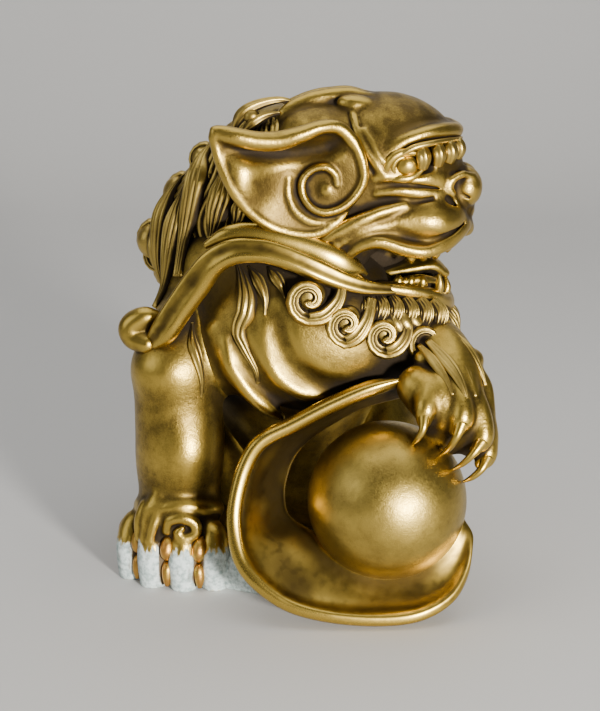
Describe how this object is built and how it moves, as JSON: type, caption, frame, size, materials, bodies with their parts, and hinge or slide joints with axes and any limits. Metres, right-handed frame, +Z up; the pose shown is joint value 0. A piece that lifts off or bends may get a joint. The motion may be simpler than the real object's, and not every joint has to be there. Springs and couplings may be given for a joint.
{
  "type": "guardian lion figure",
  "caption": "Seated cast-brass guardian lion: head turned to its left, one forepaw raised on a ball, ribbons round the ball and over the shoulder.",
  "frame": {"origin": "on the resting plane, under the middle of the figure's box", "axes": "+Z up; the chest faces -Y; the turned head faces +X"},
  "size_m": [0.0902, 0.0896, 0.1168],
  "materials": {
    "body_brass": "satin antique brass, brown patina in the recesses, rubbed bright on the high places",
    "hair_brass": "antique brass with dark patina between the strands and worn ridges",
    "ribbon_brass": "satin brass, bright worn rim, dark patina in the hollow",
    "ball_brass": "brushed and rubbed satin brass",
    "face_brass": "antique brass, dark patina",
    "claw_brass": "worn orange-brown brass",
    "verdigris_brass": "matt pale blue-grey verdigris over brass"
  },
  "bodies": {
    "root": {"torso": "body_brass", "mane": "hair_brass", "mane_locks": "hair_brass", "chest_curls": "hair_brass", "spine_curls": "hair_brass", "skull": "body_brass", "brow_curls": "hair_brass", "lower_jaw": "body_brass", "tongue": "face_brass", "teeth": "face_brass", "eyeballs": "face_brass", "beard": "hair_brass", "right_ear": "body_brass", "left_ear": "body_brass", "shoulder_ribbon": "ribbon_brass", "ball_ribbon": "ribbon_brass", "ball": "ball_brass", "right_front_leg": "body_brass", "right_front_claws": "claw_brass", "foot_web": "verdigris_brass", "left_front_leg": "body_brass", "left_front_claws": "claw_brass", "right_haunch": "body_brass", "left_haunch": "body_brass", "hind_claws": "claw_brass", "tail_plume": "hair_brass"}
  },
  "joints": []
}
